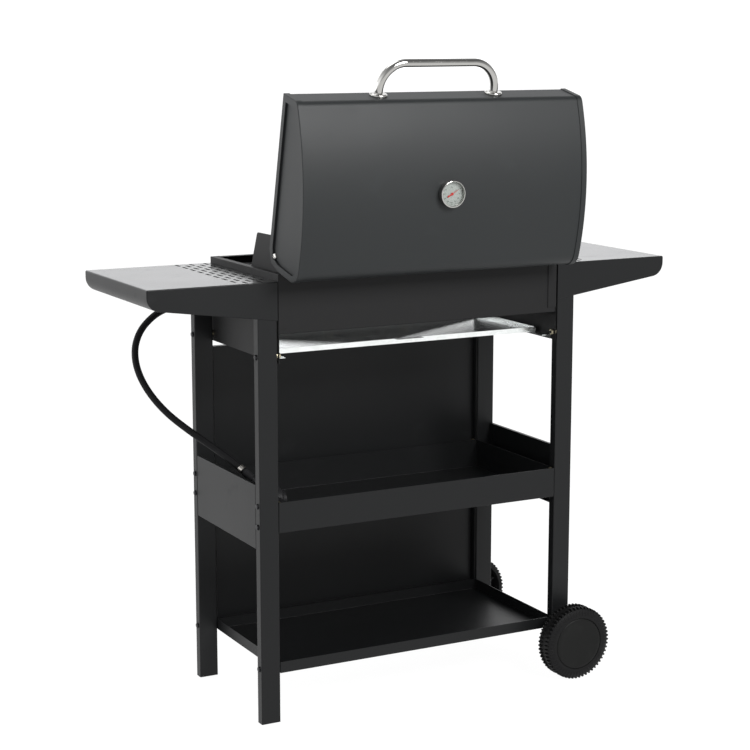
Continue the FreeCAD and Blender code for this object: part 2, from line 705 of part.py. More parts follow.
def make_lid():
    cap_outer = lid_half
    skin_half = cap_outer - sheet - cap_recess - sheet - gap
    skin = cut(lid_block(0.0, -skin_half, skin_half, lid_mouth + sheet + gap),
               lid_block(-sheet, -skin_half - 1, skin_half + 1, lid_mouth - 20),
               block(-skin_half - 1, skin_half + 1, 100, lid_rear + 5, lid_mouth - 20, 925))
    holes = [rod((side * handle_span / 2, lid_front - 5, handle_z), AXIS_Y, 2.7, 12) for side in SIDES]
    holes.append(on_gauge(rod((0, 0, -10), AXIS_Z, 4.3, 20)))
    save("lid_skin", open_lid(cut(skin, *holes)))

    cap = lid_block(gap / 3 + sheet, cap_outer - cap_lap, cap_outer, lid_mouth)
    outer_face = [e for e in cap.Edges if e.BoundBox.XMin > cap_outer - 1e-6]
    cap = cap.makeFillet(1.8, outer_face)
    cavity = lid_block(gap / 3, cap_outer - cap_lap - 1, cap_outer - sheet, lid_mouth + sheet)
    bump = lid_block(sheet - cap_border, cap_outer - 2 * sheet - cap_recess, cap_outer - sheet / 2,
                     lid_mouth + cap_border)
    pocket = lid_block(-cap_border, cap_outer - sheet - cap_recess, cap_outer + 1, lid_mouth + cap_border + sheet)
    recess_x = cap_outer - sheet - cap_recess
    boss = rod((recess_x - sheet, hinge_y, hinge_z), AXIS_X, hinge_head_radius + 2, cap_recess + 1.5 * sheet)
    head_room = rod((recess_x, hinge_y, hinge_z), AXIS_X, hinge_head_radius + 0.7, 10)
    pivot = rod((cap_outer - 20, hinge_y, hinge_z), AXIS_X, hinge_hole, 30)
    plate_room = block(cap_outer - cap_lap - 1, firebox_half - rim_flange + 3, lid_front + 4, lid_rear + 5,
                       lid_mouth - 5, hinge_z + 10)
    cap = cut(fuse(cap.cut(cavity), bump, boss), pocket, head_room, pivot, plate_room)
    save("lid_end_right", open_lid(cap))
    save("lid_end_left", open_lid(mirror_x(cap)))

    plate_x = firebox_half - rim_flange - gap - 2
    head_x = recess_x + 0.2
    head = rod((head_x, hinge_y, hinge_z), AXIS_X, hinge_head_radius, 4)
    rim = [e for e in head.Edges if abs(e.CenterOfMass.x - head_x - 4) < 1e-6]
    head = head.makeFillet(2.4, rim)
    bolt = fuse(head, rod((plate_x - 8, hinge_y, hinge_z), AXIS_X, hinge_radius, head_x + 1 - plate_x + 8))
    bolt = bolt.cut(hexagon((head_x + 2, hinge_y, hinge_z), AXIS_X, 4.0, 4))
    nut = hexagon((plate_x - 0.1, hinge_y, hinge_z), V(-1, 0, 0), 11.0, 5.5)
    nut = nut.cut(rod((plate_x - 10, hinge_y, hinge_z), AXIS_X, hinge_radius + fit, 20))
    save("hinge_bolts", *pair(bolt), *pair(nut))


def make_handle():
    face_y = lid_front - gap
    half = handle_span / 2
    out_y = face_y - handle_height
    bend_y = out_y + handle_bend
    mid = handle_bend * (1 - math.sqrt(0.5))
    edges = []
    points = {}
    for side in SIDES:
        points[side] = (V(side * half, face_y, handle_z), V(side * half, bend_y, handle_z),
                        V(side * (half - mid), out_y + mid, handle_z),
                        V(side * (half - handle_bend), out_y, handle_z))
    right = points[1]
    left = points[-1]
    edges.append(Part.LineSegment(right[0], right[1]).toShape())
    edges.append(Part.Arc(right[1], right[2], right[3]).toShape())
    edges.append(Part.LineSegment(right[3], left[3]).toShape())
    edges.append(Part.Arc(left[3], left[2], left[1]).toShape())
    edges.append(Part.LineSegment(left[1], left[0]).toShape())
    path = Part.Wire(edges)
    circle = Part.Wire(Part.Circle(right[0], AXIS_Y, handle_radius).toShape())
    bar = path.makePipeShell([circle], True, False)
    sockets = [rod((side * half, face_y - 16, handle_z), AXIS_Y, 2.56, 20) for side in SIDES]
    save("lid_handle", open_lid(cut(bar, *sockets)))

    rosettes = []
    screws = []
    for side in SIDES:
        x = side * half
        rosette = ring((x, face_y - rosette_height, handle_z), AXIS_Y, rosette_radius, handle_radius + 0.1,
                       rosette_height)
        rim = [e for e in rosette.Edges if abs(e.CenterOfMass.y - face_y + rosette_height) < 1e-6
               and e.Length > 2 * math.pi * (handle_radius + 2)]
        rosettes.append(open_lid(rosette.makeFillet(3.0, rim)))
        inside = lid_front + sheet + 0.1
        screws.append(open_lid(fuse(rod((x, inside, handle_z), AXIS_Y, 6, 2.5),
                                    rod((x, face_y - 12, handle_z), AXIS_Y, 2.5, 14 + inside - face_y))))
    save("handle_rosettes", *rosettes)
    return screws


def on_gauge(shape):
    """Places a piece of the thermometer, whose own +Z stands out of the lid, on the shut lid."""
    tilt = math.degrees(math.asin((lid_crest_y - gauge_y) / lid_top_radius))
    surface_z = lid_top - lid_top_radius + math.sqrt(lid_top_radius ** 2 - (gauge_y - lid_crest_y) ** 2)
    placed = shape.copy()
    placed.rotate(V(0, 0, 0), AXIS_X, tilt)
    placed.translate(V(0, gauge_y, surface_z))
    return placed


def make_thermometer():
    foot = 0.9
    dial_radius = gauge_radius - 2.4
    cup = rod((0, 0, foot), AXIS_Z, gauge_radius, gauge_height)
    rim = [e for e in cup.Edges if abs(e.CenterOfMass.z - foot - gauge_height) < 1e-6]
    cup = cup.makeFillet(1.6, rim)
    cup = cut(cup, rod((0, 0, foot + 4), AXIS_Z, dial_radius, 20))
    cup = fuse(cup, rod((0, 0, foot + 1), V(0, 0, -1), 4.0, 46))
    dial = ring((0, 0, foot + 4.1), AXIS_Z, dial_radius - 0.1, 0.9 + fit, 1.0)
    tail = [(-1.1, -2), (-1.6, -11), (1.6, -11), (1.1, -2)]
    needle_outline = tail + [(0.45, 2), (0.3, 15), (-0.3, 15), (-0.45, 2)]
    needle = fuse(rod((0, 0, foot + 4.3), AXIS_Z, 0.9, 3.2),
                  rod((0, 0, foot + 5.9), AXIS_Z, 2.6, 1.6),
                  prism([V(x, y, foot + 6.2) for x, y in needle_outline], V(0, 0, 0.8)))
    needle.rotate(V(0, 0, 0), AXIS_Z, 120)
    glass = rod((0, 0, foot + 10), AXIS_Z, dial_radius - 0.05, 1.6)
    nut = hexagon((0, 0, -sheet - 0.6), V(0, 0, -1), 15, 5)
    nut = nut.cut(rod((0, 0, 0), V(0, 0, -1), 4.0 + fit, 10))
    for name, shape in (("thermometer_case", cup), ("thermometer_dial", dial), ("thermometer_needle", needle),
                        ("thermometer_glass", glass)):
        save(name, open_lid(on_gauge(shape)))
    return open_lid(on_gauge(nut))


def make_wheels():
    """Wide plastic wheels with a toothed tread, on an axle through the short legs."""
    r = wheel_radius
    y0 = wheel_inner
    y1 = wheel_outer
    hub_inner = half_depth + 2
    points = [(y0, r - 3), (y0 + 3, r), (y1 - 13, r), (y1 - 4, r - 10), (y1 - 1, r - 19), (y1 - 1, hub_cap_radius + 0.2),
              (y1 - 4, hub_cap_radius + 0.2), (y1 - 4, axle_radius + 4), (y1 - 10, axle_radius + 4),
              (y1 - 10, axle_radius + axle_clearance), (hub_inner, axle_radius + axle_clearance), (hub_inner, 15),
              (y1 - 16, 18), (y1 - 14, 22), (y1 - 14, r - 14), (y0, r - 10)]
    face = Part.Face(Part.makePolygon([V(0, y, z) for y, z in points + [points[0]]]))
    wheel = face.revolve(V(0, 0, 0), AXIS_Y, 360)
    teeth = []
    for i in range(wheel_teeth):
        turn = 2 * math.pi * i / wheel_teeth
        groove = rod(((r + 1.4) * math.sin(turn), y0 - 1, (r + 1.4) * math.cos(turn)), AXIS_Y, 2.7, y1 - y0 + 2)
        teeth.append(groove)
    wheel = cut(wheel, *teeth)
    cap = rod((0, y1 - 3.9, 0), AXIS_Y, hub_cap_radius, 4.4)
    rim = [e for e in cap.Edges if abs(e.CenterOfMass.y - y1 - 0.5) < 1e-6]
    cap = cap.makeFillet(2.5, rim)
    place = V(wheel_x, 0, wheel_radius)
    for name, shape in (("wheel", wheel), ("hub_cap", cap)):
        rear = shape.copy()
        rear.translate(place)
        save(name + "_rear", rear)
        save(name + "_front", rear.mirror(V(0, 0, 0), AXIS_Y))
    end = y1 - 5
    axle = rod((wheel_x, -end, wheel_radius), AXIS_Y, axle_radius, 2 * end)
    save("axle", axle)
    clip = ring((wheel_x, y1 - 9.6, wheel_radius), AXIS_Y, 8.4, axle_radius + 0.01, 3)
    save("axle_clips", clip, clip.mirror(V(0, 0, 0), AXIS_Y))


def panel_tilt():
    """Degrees by which the control panel's face leans back."""
    return math.degrees(math.atan2(panel_front_top_y - panel_front_low_y, panel_top - panel_face_low))


def on_panel(shape, x):
    """Places a piece, whose own +Z stands out of the control panel's face, at x along the panel."""
    placed = shape.copy()
    placed.rotate(V(0, 0, 0), AXIS_X, 90 - panel_tilt())
    placed.translate(V(x, (panel_front_top_y + panel_front_low_y) / 2, (panel_top + panel_face_low) / 2))
    return placed


def make_control_panel():
    def section(inset, rear_y, x0, x1):
        slope = inset / math.cos(math.radians(panel_tilt()))
        return prism_x([(rear_y, panel_top - inset), (panel_front_top_y + slope, panel_top - inset),
                        (panel_front_low_y + slope, panel_face_low), (panel_front_low_y + 6 + inset, panel_low + inset),
                        (rear_y, panel_low + inset)], x0, x1)

    shell = section(0, panel_rear_y, -half_width, half_width)
    front = edges_along(shell, AXIS_X, lambda m: m.y < panel_rear_y - 5)
    shell = shell.makeFillet(3, front)
    bridge_x = firebox_half - 1
    shell = cut(shell, section(sheet, panel_rear_y + 1, -half_width + sheet, half_width - sheet))
    shell = fuse(shell, block(-bridge_x, bridge_x, panel_rear_y - 1, firebox_front - gap, panel_top - sheet, panel_top))
    holes = [on_panel(rod((0, 0, -6), AXIS_Z, stem_radius + 1, 12), x) for x in burner_places()]
    holes.append(on_panel(rod((0, 0, -6), AXIS_Z, igniter_radius + 2, 12), igniter_x))
    holes.append(rod((half_width - 5, manifold_y, manifold_z), AXIS_X, manifold_radius + gap, 10))
    save("control_panel", cut(shell, *holes))


def make_controls():
    valves = []
    seats = []
    for i, x in enumerate(burner_places()):
        body = block(-12, 12, -12, 12, -40, -sheet - 0.8)
        body = cut(body, rod((0, 0, -30), AXIS_Z, 7 + fit, 16), rod((0, 0, -20), AXIS_Z, stem_radius + fit, 20))
        nozzle = rod((x, manifold_y, burner_z), AXIS_Y, 3.0, nozzle_end - manifold_y)
        root_z = manifold_z + manifold_radius - 2
        root = rod((x, manifold_y, root_z), AXIS_Z, 5.0, 12)
        valves.append(fuse(on_panel(body, x), nozzle, root))
        seats.append(rod((x, manifold_y, manifold_z), AXIS_Z, 5.0 + 0.1, 20))
        plug = rod((0, 0, -29.9), AXIS_Z, 7, 15.8).cut(rod((0, 0, -27), AXIS_Z, stem_radius + fit, 20))
        stem = rod((0, 0, -23), AXIS_Z, stem_radius, 41)
        knob = rod((0, 0, 6), AXIS_Z, knob_radius, 8)
        grip = rod((0, 0, 6), AXIS_Z, knob_radius * 0.82, knob_height)
        rim = [e for e in grip.Edges if abs(e.CenterOfMass.z - 6 - knob_height) < 1e-6]
        grip = grip.makeFillet(3, rim)
        knob = fuse(knob, grip, block(-4, 4, -knob_radius, knob_radius, 8, 6 + knob_height))
        knob = knob.cut(rod((0, 0, 0), AXIS_Z, stem_radius + 0.02, 18.2))
        number = str(i + 1)
        save("valve_plug_" + number, on_panel(plug, x))
        save("valve_stem_" + number, on_panel(stem, x))
        save("knob_" + number, on_panel(knob, x))

    first = burner_places()[0] - 20
    pipe_end = half_width + 1
    pipe = ring((first, manifold_y, manifold_z), AXIS_X, manifold_radius, manifold_radius - 1.5, pipe_end - first)
    pipe = fuse(pipe, rod((first, manifold_y, manifold_z), AXIS_X, manifold_radius, 3))
    save("gas_valves", *valves)
    save("gas_manifold", cut(pipe, *seats))

    housing = fuse(ring((0, 0, -27), AXIS_Z, igniter_radius + 2 - 0.1, igniter_radius + fit, 29),
                   ring((0, 0, 0.1), AXIS_Z, igniter_radius + 5, igniter_radius + fit, 2.4),
                   rod((0, 0, -29), AXIS_Z, igniter_radius + 2 - 0.1, 3))
    save("igniter_housing", on_panel(housing, igniter_x))
    button = rod((0, 0, -20), AXIS_Z, igniter_radius, 27)
    rim = [e for e in button.Edges if abs(e.CenterOfMass.z - 7) < 1e-6]
    save("igniter_button", on_panel(button.makeFillet(1.5, rim), igniter_x))


def arc_at(before, corner, after):
    """The arc that rounds a corner of the hose's route, as large as its two runs allow."""
    back = (before - corner).normalize()
    ahead = (after - corner).normalize()
    turn = math.pi - back.getAngle(ahead)
    tangent = 0.45 * min((before - corner).Length, (after - corner).Length)
    radius = tangent / math.tan(turn / 2)
    bisector = (back + ahead).normalize()
    middle = corner + bisector * (radius / math.cos(turn / 2) - radius)
    return corner + back * tangent, middle, corner + ahead * tangent, radius, turn


def make_hose():
    points = [V(*p) for p in hose_route]
    edges = []
    last = points[0]
    radii = []
    for before, corner, after in zip(points, points[1:], points[2:]):
        start, middle, end, radius, turn = arc_at(before, corner, after)
        edges.append(Part.LineSegment(last, start).toShape())
        edges.append(Part.Arc(start, middle, end).toShape())
        radii.append(round(radius))
        last = end
    edges.append(Part.LineSegment(last, points[-1]).toShape())
    path = Part.Wire(edges)
    circle = Part.Wire(Part.Circle(points[0], points[1] - points[0], hose_radius).toShape())
    hose = path.makePipeShell([circle], True, False)
    ideal = math.pi * hose_radius ** 2 * path.Length
    print("hose length", round(path.Length, 1), "volume ratio", round(hose.Volume / ideal, 4), "radii", radii)
    print("runs", [round((b - a).Length) for a, b in zip(points, points[1:])])
    save("gas_hose", hose)

    start = points[0]
    inward = (start - points[1]).normalize()
    nut = fuse(hexagon((half_width + 1.3, manifold_y, manifold_z), AXIS_X, 19.0, inlet_nut_length),
               rod(hose_route[0], inward, hose_radius + 1, 8))
    save("hose_inlet_nut", nut)

    away = (points[-1] - points[-2]).normalize()
    end = points[-1]
    spigot = rod(tuple(end), away, hose_radius + 1.5, 22)
    centre = V(276, 46, middle_shelf_z + sheet + gap + regulator_radius)
    body = rod((centre.x - 16, centre.y, centre.z), AXIS_X, regulator_radius, 32)
    body = body.makeFillet(5, [e for e in body.Edges if e.Length > 2 * math.pi * (regulator_radius - 1)])
    boss = rod((centre.x - 26, centre.y, centre.z), AXIS_X, 20, 14)
    neck_start = end + away * 20
    neck = rod(tuple(neck_start), centre - neck_start, 6, (centre - neck_start).Length)
    inlet = rod(tuple(centre), AXIS_Y, 14, 62)
    save("gas_regulator", fuse(body, boss, spigot, neck, inlet))
    clamp_at = end - away * 14
    save("hose_clamp", ring(tuple(clamp_at), away, hose_radius + 1.4, hose_radius + 0.1, 9))


make_legs()
make_feet()
make_frame_fasteners()
make_between_leg_tray("bottom_shelf", bottom_shelf_z, bottom_shelf_rim, [bottom_bolt_z])
make_between_leg_tray("middle_shelf", middle_shelf_z, middle_shelf_rim, joint_bolt_z)
make_side_plates()
make_front_panel()
make_side_tables()
make_firebox()
make_hinge_plates()
make_cooking_parts()
make_grease_tray()
make_lid()
save("lid_fasteners", *make_handle(), make_thermometer())
make_wheels()
make_control_panel()
make_controls()
make_hose()
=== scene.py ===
"""Finishes and detailed pieces for a gas barbecue grill on a two-wheeled cart.

Everything is in metres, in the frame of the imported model: +Z up, -Y towards the cook, +X towards the hose.
"""

import json
import math

import bmesh
import bpy
from mathutils import Matrix, Vector


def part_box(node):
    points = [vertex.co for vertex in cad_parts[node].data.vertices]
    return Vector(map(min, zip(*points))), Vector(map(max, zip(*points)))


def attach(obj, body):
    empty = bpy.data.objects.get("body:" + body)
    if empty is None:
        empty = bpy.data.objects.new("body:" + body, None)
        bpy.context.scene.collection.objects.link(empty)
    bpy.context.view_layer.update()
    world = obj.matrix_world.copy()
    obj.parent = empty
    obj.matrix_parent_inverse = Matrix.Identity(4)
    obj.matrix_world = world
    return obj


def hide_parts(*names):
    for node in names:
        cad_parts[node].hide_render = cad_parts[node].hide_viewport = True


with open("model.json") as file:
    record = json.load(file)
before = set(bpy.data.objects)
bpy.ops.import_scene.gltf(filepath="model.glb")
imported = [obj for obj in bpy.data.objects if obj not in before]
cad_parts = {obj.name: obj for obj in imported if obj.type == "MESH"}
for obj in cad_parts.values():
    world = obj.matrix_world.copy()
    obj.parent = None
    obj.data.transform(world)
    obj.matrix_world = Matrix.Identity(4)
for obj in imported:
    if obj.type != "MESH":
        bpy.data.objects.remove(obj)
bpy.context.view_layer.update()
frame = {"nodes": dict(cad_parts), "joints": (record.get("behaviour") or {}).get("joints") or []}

bl_info = {
    "name": "Gas barbecue grill",
    "version": (1, 0, 0),
    "blender": (4, 5, 0),
    "location": "View3D > Sidebar > Grill",
    "description": "Finishes, hose, wheels, knobs and thermometer of a gas barbecue grill",
    "category": "Object",
}

MM = 0.001
FULL_TURN = 2 * math.pi
EDGE_ANGLE = math.radians(35)
MERGE_DISTANCE = 1e-6
FACE_TOLERANCE = 1e-6
JOINTS = {joint["name"]: joint for joint in frame["joints"]}

# From the inlet nut out past the side shelf, down and back in to the regulator.
HOSE_ROUTE = (
    (0.374, -0.214, 0.778),
    (0.398, -0.211, 0.773),
    (0.427, -0.204, 0.759),
    (0.454, -0.197, 0.735),
    (0.470, -0.188, 0.701),
    (0.471, -0.172, 0.660),
    (0.457, -0.148, 0.618),
    (0.432, -0.117, 0.579),
    (0.396, -0.090, 0.545),
    (0.358, -0.062, 0.514),
    (0.328, -0.027, 0.487),
    (0.311, -0.003, 0.467),
)


# Shader expressions


class Wire:
    """A shader socket on which sums and products are written as Python expressions."""

    def __init__(self, finish, socket):
        self.finish = finish
        self.socket = socket

    def math(self, operation, *values):
        node = self.finish.node("ShaderNodeMath", {"operation": operation}, dict(enumerate((self, *values))))
        return node["Value"]

    def __add__(self, other):
        return self.math("ADD", other)

    def __radd__(self, other):
        return self.math("ADD", other)

    def __mul__(self, other):
        return self.math("MULTIPLY", other)

    def __rmul__(self, other):
        return self.math("MULTIPLY", other)

    def __sub__(self, other):
        return self.math("SUBTRACT", other)

    def __rsub__(self, other):
        return self.math("MULTIPLY", -1.0) + other

    def __gt__(self, other):
        return self.math("GREATER_THAN", other)


class Outputs:
    """The outputs of one shader node, by name."""

    def __init__(self, finish, node):
        self.finish = finish
        self.node = node

    def __getitem__(self, name):
        return Wire(self.finish, self.node.outputs[name])


class Finish:
    """A material and the nodes in it."""

    def __init__(self, name, tree=None, **constants):
        if tree is None:
            self.material = bpy.data.materials.new(name)
            self.material.use_nodes = True
            tree = self.material.node_tree
            self.shader = tree.nodes["Principled BSDF"]
            for socket, value in constants.items():
                self.shader.inputs[socket.replace("_", " ")].default_value = value
        self.tree = tree
        self.place = self.node("ShaderNodeTexCoord")["Object"]

    def feed(self, socket, value):
        if isinstance(value, Wire):
            self.tree.links.new(value.socket, socket)
        else:
            socket.default_value = value

    def node(self, kind, settings=None, sockets=None):
        """Adds a node with its settings, then the values or links of its sockets."""
        node = self.tree.nodes.new(kind)
        for name, value in (settings or {}).items():
            setattr(node, name, value)
        for name, value in (sockets or {}).items():
            self.feed(node.inputs[name], value)
        return Outputs(self, node)

    def noise(self, size, detail=2.0, place=None, distortion=0.0):
        """Noise whose lumps are about size metres across, from 0 to 1."""
        return self.node("ShaderNodeTexNoise", None, {
            "Vector": place or self.place, "Scale": 1.0 / size,
            "Detail": detail, "Distortion": distortion})["Fac"]

    def stretched(self, x, y, z):
        """The place with each axis multiplied, for grain that runs one way."""
        return self.node("ShaderNodeMapping", None, {"Vector": self.place, "Scale": (x, y, z)})["Vector"]

    def cells(self, size):
        """A random colour for each cell of about size metres."""
        return self.node("ShaderNodeTexVoronoi", None, {"Vector": self.place, "Scale": 1.0 / size})["Color"]

    def ramp(self, value, low, high):
        """0 below low, 1 above high, smooth between."""
        return self.node("ShaderNodeMapRange", {"interpolation_type": "SMOOTHSTEP"}, {
            "Value": value, "From Min": low, "From Max": high, "To Min": 0.0, "To Max": 1.0})["Result"]

    def mix(self, amount, low, high):
        """A colour between low and high."""
        node = self.node("ShaderNodeMix", {"data_type": "RGBA"}, {0: amount, 6: low, 7: high})
        return Wire(self, node.node.outputs[2])

    def axis(self, name):
        return self.node("ShaderNodeSeparateXYZ", None, {"Vector": self.place})[name]

    def set(self, **sockets):
        for socket, value in sockets.items():
            self.feed(self.shader.inputs[socket.replace("_", " ")], value)
        return self

    def bump(self, height, depth):
        """Relief of the given depth in metres where height runs from 0 to 1."""
        relief = {"Height": height, "Distance": depth, "Strength": 1.0}
        normal = self.node("ShaderNodeBump", None, relief)["Normal"]
        self.feed(self.shader.inputs["Normal"], normal)
        return self


def rgba(colour):
    return (*colour[:3], 1.0)


def shade(colour, factor):
    return tuple(min(1.0, channel * factor) for channel in colour[:3]) + (1.0,)


def powder_coat(name, colour, roughness, peel=0.0035, depth=0.00006, dust=0.10, glazed_above=None,
                gloss=0.22):
    """Baked powder: orange peel, a fine sparkle in the gloss and a little settled dust.

    Above the height glazed_above it has a clear, wipe-clean top coat.
    """
    finish = Finish(name, Specular_IOR_Level=gloss, Coat_Roughness=0.16, Coat_IOR=1.5)
    if glazed_above is not None:
        finish.set(Coat_Weight=(finish.axis("Z") > glazed_above) * 0.42)
    patch = finish.noise(0.22, 3.0)
    speck = finish.noise(0.0009, 1.0)
    scuff = finish.ramp(finish.noise(0.06, 8.0, distortion=0.6), 0.60, 0.78)
    tint = finish.mix(patch * dust + scuff * 0.25 + (speck - 0.5) * 0.3, rgba(colour), shade(colour, 2.1))
    finish.set(Base_Color=tint,
               Roughness=(patch - 0.5) * 0.12 + (speck - 0.5) * 0.10 + scuff * 0.08 + roughness)
    return finish.bump(finish.noise(peel, 2.0) + speck * 0.25, depth).material


def polished(name, colour, roughness=0.05):
    """Mirror-polished steel with faint wiping marks."""
    finish = Finish(name, Metallic=1.0)
    smudge = finish.noise(0.018, 5.0, distortion=0.8)
    finish.set(Base_Color=finish.mix(smudge, shade(colour, 0.94), rgba(colour)),
               Roughness=finish.ramp(smudge, 0.35, 0.8) * 0.09 + roughness)
    return finish.bump(finish.noise(0.0006, 2.0), 0.0000012).material


def galvanised(name, colour):
    """Zinc-dipped sheet: crystals of differing brightness, dull streaks and rolled lines."""
    finish = Finish(name, Metallic=1.0)
    crystal = finish.node("ShaderNodeSeparateColor", None, {"Color": finish.cells(0.011)})["Red"]
    rolled = finish.noise(0.02, 3.0, finish.stretched(0.08, 1.0, 1.0))
    finish.set(Base_Color=finish.mix(crystal * 0.5 + rolled * 0.5, shade(colour, 0.86), shade(colour, 1.06)),
               Roughness=crystal * 0.05 + rolled * 0.06 + 0.16)
    return finish.bump(rolled, 0.000008).material


def brushed(name, colour):
    """Steel with a grain along X, and a slight heat tint."""
    finish = Finish(name, Metallic=1.0)
    line = finish.noise(0.0012, 2.0, finish.stretched(0.05, 1.0, 1.0))
    heat = finish.ramp(finish.noise(0.12, 3.0), 0.45, 0.75)
    warm = (colour[0], colour[1] * 0.86, colour[2] * 0.68, 1.0)
    finish.set(Base_Color=finish.mix(heat * 0.5, rgba(colour), warm),
               Roughness=(line - 0.5) * 0.2 + 0.3)
    return finish.bump(line, 0.00002).material


def plated(name, colour, roughness=0.3):
    """Small plated fasteners, uneven in brightness."""
    finish = Finish(name, Metallic=1.0)
    patch = finish.noise(0.004, 3.0)
    finish.set(Base_Color=finish.mix(patch, shade(colour, 0.75), shade(colour, 1.1)),
               Roughness=(patch - 0.5) * 0.2 + roughness)
    return finish.bump(finish.noise(0.0005, 2.0), 0.00001).material


def cast_iron(name, colour):
    """Enamelled casting: a pebbled skin with glossy lumps."""
    finish = Finish(name, Specular_IOR_Level=0.55)
    pebble = finish.noise(0.0022, 3.0)
    patch = finish.noise(0.03, 3.0)
    finish.set(Base_Color=finish.mix(pebble, shade(colour, 0.6), shade(colour, 1.5)),
               Roughness=(pebble - 0.5) * 0.3 + (patch - 0.5) * 0.15 + 0.42)
    return finish.bump(pebble, 0.0003).material


def moulded(name, colour, roughness, grain=0.0009, depth=0.00004):
    """Moulded plastic or rubber with a spark-eroded grain and rubbed places."""
    finish = Finish(name, Specular_IOR_Level=0.12)
    texture = finish.noise(grain, 2.0)
    rubbed = finish.ramp(finish.noise(0.03, 5.0, distortion=0.5), 0.5, 0.8)
    finish.set(Base_Color=finish.mix(texture * 0.3 + rubbed * 0.4, rgba(colour), shade(colour, 1.9)),
               Roughness=(texture - 0.5) * 0.16 - rubbed * 0.08 + roughness)
    return finish.bump(texture, depth).material


def glazed(name, colour):
    """Glazed ceramic with a fine speckle."""
    finish = Finish(name, Coat_Weight=0.6, Coat_Roughness=0.08)
    speckle = finish.noise(0.001, 2.0)
    finish.set(Base_Color=finish.mix(speckle, shade(colour, 0.92), rgba(colour)),
               Roughness=speckle * 0.1 + 0.2)
    return finish.bump(finish.noise(0.004, 2.0), 0.00003).material


def printed(name, colour, roughness=0.35):
    """Smooth ink, enamel or paint, slightly uneven in tone."""
    finish = Finish(name)
    tone = finish.noise(0.0012, 2.0)
    finish.set(Base_Color=finish.mix(tone, shade(colour, 0.93), shade(colour, 1.04)),
               Roughness=(tone - 0.5) * 0.1 + roughness)
    return finish.bump(tone, 0.000005).material


def lens(name):
    """Thin clear glass that lets the dial show."""
    finish = Finish(name, Base_Color=(0.04, 0.045, 0.04, 1.0), IOR=1.45)
    film = finish.noise(0.01, 4.0)
    finish.set(Roughness=film * 0.03 + 0.01, Alpha=film * 0.04 + 0.08)
    return finish.material


# Mesh helpers


def set_sharp(mesh_edit):
    """Smooths the faces, but not across edges that turn more than EDGE_ANGLE."""
    for face in mesh_edit.faces:
        face.smooth = True
    for edge in mesh_edit.edges:
        edge.smooth = len(edge.link_faces) == 2 and edge.calc_face_angle(math.pi) < EDGE_ANGLE


def make_piece(name, mesh_edit, finishes, body, replaced=()):
    """Turns a finished bmesh into an object that rides on a body."""
    bmesh.ops.recalc_face_normals(mesh_edit, faces=mesh_edit.faces)
    set_sharp(mesh_edit)
    mesh = bpy.data.meshes.new(name)
    mesh_edit.to_mesh(mesh)
    mesh_edit.free()
    for finish in finishes:
        mesh.materials.append(finish)
    piece = bpy.data.objects.new(name, mesh)
    bpy.context.scene.collection.objects.link(piece)
    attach(piece, body)
    if replaced:
        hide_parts(*replaced)


def lathe(mesh_edit, outline, steps, closed=True):
    """Spins an outline of (radius, height) points about Z."""
    verts = [mesh_edit.verts.new((radius, 0.0, height)) for radius, height in outline]
    pairs = list(zip(verts, verts[1:] + verts[:1])) if closed else list(zip(verts, verts[1:]))
    edges = [mesh_edit.edges.new(pair) for pair in pairs]
    bmesh.ops.spin(mesh_edit, geom=verts + edges, cent=(0, 0, 0), axis=(0, 0, 1), angle=FULL_TURN,
                   steps=steps, use_merge=True)
    bmesh.ops.remove_doubles(mesh_edit, verts=mesh_edit.verts, dist=MERGE_DISTANCE)


def slab(mesh_edit, size, centre, turn=0.0, material=0, bevel=0.0):
    """A block of the given size, centred on a point and then turned about Z, with its edges broken."""
    place = Matrix.Rotation(turn, 4, "Z") @ Matrix.Translation(centre) @ Matrix.Diagonal((*size, 1.0))
    made = bmesh.ops.create_cube(mesh_edit, size=1.0, matrix=place)
    faces = list({face for vert in made["verts"] for face in vert.link_faces})
    if bevel:
        edges = list({edge for face in faces for edge in face.edges})
        done = bmesh.ops.bevel(mesh_edit, geom=edges, offset=bevel, segments=3, profile=0.5,
                               affect="EDGES", material=-1)
        faces = list(set(done["faces"]) | {face for face in faces if face.is_valid})
    for face in faces:
        face.material_index = material


def facing(origin, out, right=(1, 0, 0)):
    """The frame whose Z is out and whose X is right, at origin."""
    z_axis = Vector(out).normalized()
    x_axis = Vector(right)
    y_axis = z_axis.cross(x_axis).normalized()
    turn = Matrix((x_axis, y_axis, z_axis)).transposed().to_4x4()
    return Matrix.Translation(origin) @ turn


def paint(node, finish):
    """Gives a CAD node its finish."""
    node_object = frame["nodes"][node]
    if not node_object.material_slots:
        node_object.data.materials.append(finish)
    for place in node_object.material_slots:
        place.material = finish


# Settings


def colour_setting(name, description, default):
    return bpy.props.FloatVectorProperty(name=name, description=description, subtype="COLOR", size=3,
                                         default=default)


def length_setting(name, description, default):
    return bpy.props.FloatProperty(name=name, description=description, unit="LENGTH", default=default)


def angle_setting(name, description, degrees):
    return bpy.props.FloatProperty(name=name, description=description, subtype="ANGLE",
                                   default=math.radians(degrees))


class GrillColours(bpy.types.PropertyGroup):
    cart: colour_setting("Cart", "Powder coat of the legs, shelves and panels", (0.0060, 0.0064, 0.0068))
    lid: colour_setting("Lid", "Enamel of the lid", (0.0082, 0.0098, 0.0104))
    firebox: colour_setting("Firebox", "Heat-resistant paint of the firebox", (0.0060, 0.0060, 0.0063))
    steel: colour_setting("Polished steel", "Handle, rosettes and thermometer rim", (0.80, 0.79, 0.76))
    zinc: colour_setting("Galvanised sheet", "Grease tray and rails", (0.93, 0.97, 0.95))


